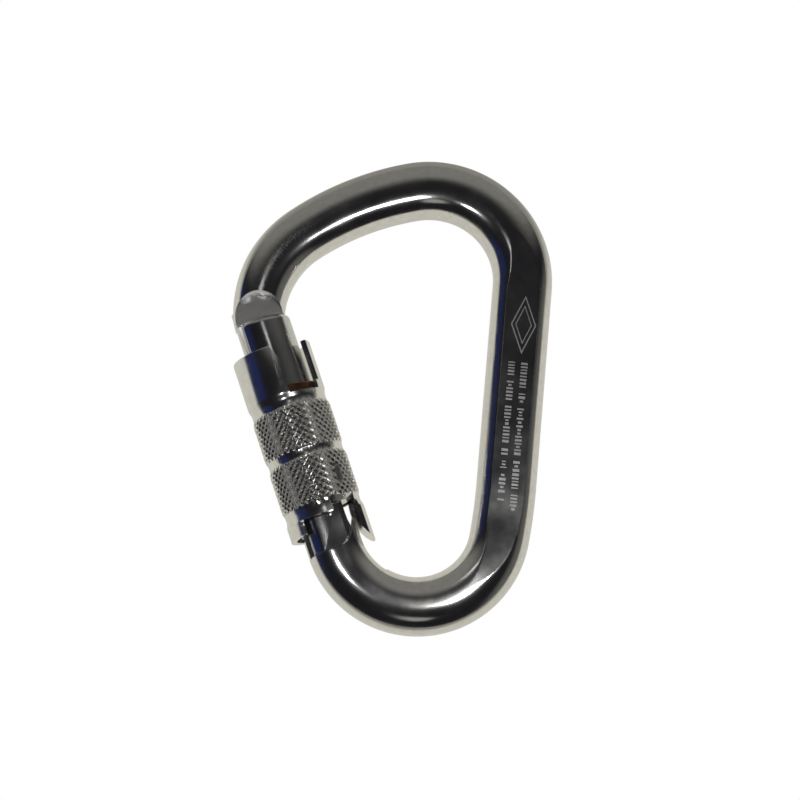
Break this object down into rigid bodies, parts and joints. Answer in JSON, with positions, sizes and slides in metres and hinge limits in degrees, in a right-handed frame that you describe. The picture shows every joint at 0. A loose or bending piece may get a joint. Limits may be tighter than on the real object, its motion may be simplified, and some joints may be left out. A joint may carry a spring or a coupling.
{
  "type": "carabiner",
  "caption": "Pear-shaped locking carabiner: bent metal bar loop with a sprung gate and a knurled quarter-turn sleeve, used as a large keyring clip.",
  "frame": {"origin": "centre of the bounding box", "axes": "+Y along the spine towards the wide top bend, +Z through the thickness towards the front, +X across towards the spine, with the gate on -X"},
  "size_m": [0.0733, 0.111, 0.0182],
  "materials": {
    "polished_bar": "polished, faint drawing marks",
    "gate_metal": "polished",
    "knurled_sleeve": "bright, diamond knurled",
    "bronze_bush": "turned bronze",
    "steel_pin": "ground",
    "spring_steel": "drawn wire",
    "brass_plunger": "turned"
  },
  "bodies": {
    "frame_bar": {"body": "polished_bar"},
    "gate_arm": {"gate": "gate_metal", "hinge_rivet": "steel_pin", "sleeve_bush": "bronze_bush", "stop_pin": "steel_pin", "gate_spring": "spring_steel", "sleeve_spring": "spring_steel"},
    "plunger": {"gate_plunger": "brass_plunger"},
    "sleeve": {"lock_sleeve": "knurled_sleeve", "spring_key": "steel_pin"}
  },
  "joints": [
    {"name": "gate_pivot", "type": "hinge", "parent": "frame_bar", "child": "gate_arm", "pos_m": [-0.00919, -0.03405, 0], "axis": [0, 0, -1], "range_deg": [0, 22], "stiffness_Nm_per_rad": 0.25, "springref_deg": -20.05},
    {"name": "sleeve_twist", "type": "hinge", "parent": "gate_arm", "child": "sleeve", "pos_m": [-0.00919, -0.03405, 0], "axis": [-0.4003, 0.9164, 0], "range_deg": [0, 90], "stiffness_Nm_per_rad": 0.04, "springref_deg": -28.65, "deforming": ["sleeve_spring"]},
    {"name": "plunger_slide", "type": "slide", "parent": "gate_arm", "child": "plunger", "axis": [-0.4003, 0.9164, 0], "range_m": [0, 0.00139], "deforming": ["gate_spring"]}
  ],
  "couplings": [
    {"joint": "plunger_slide", "follows": "gate_pivot", "m_per_rad": 0.00336}
  ]
}
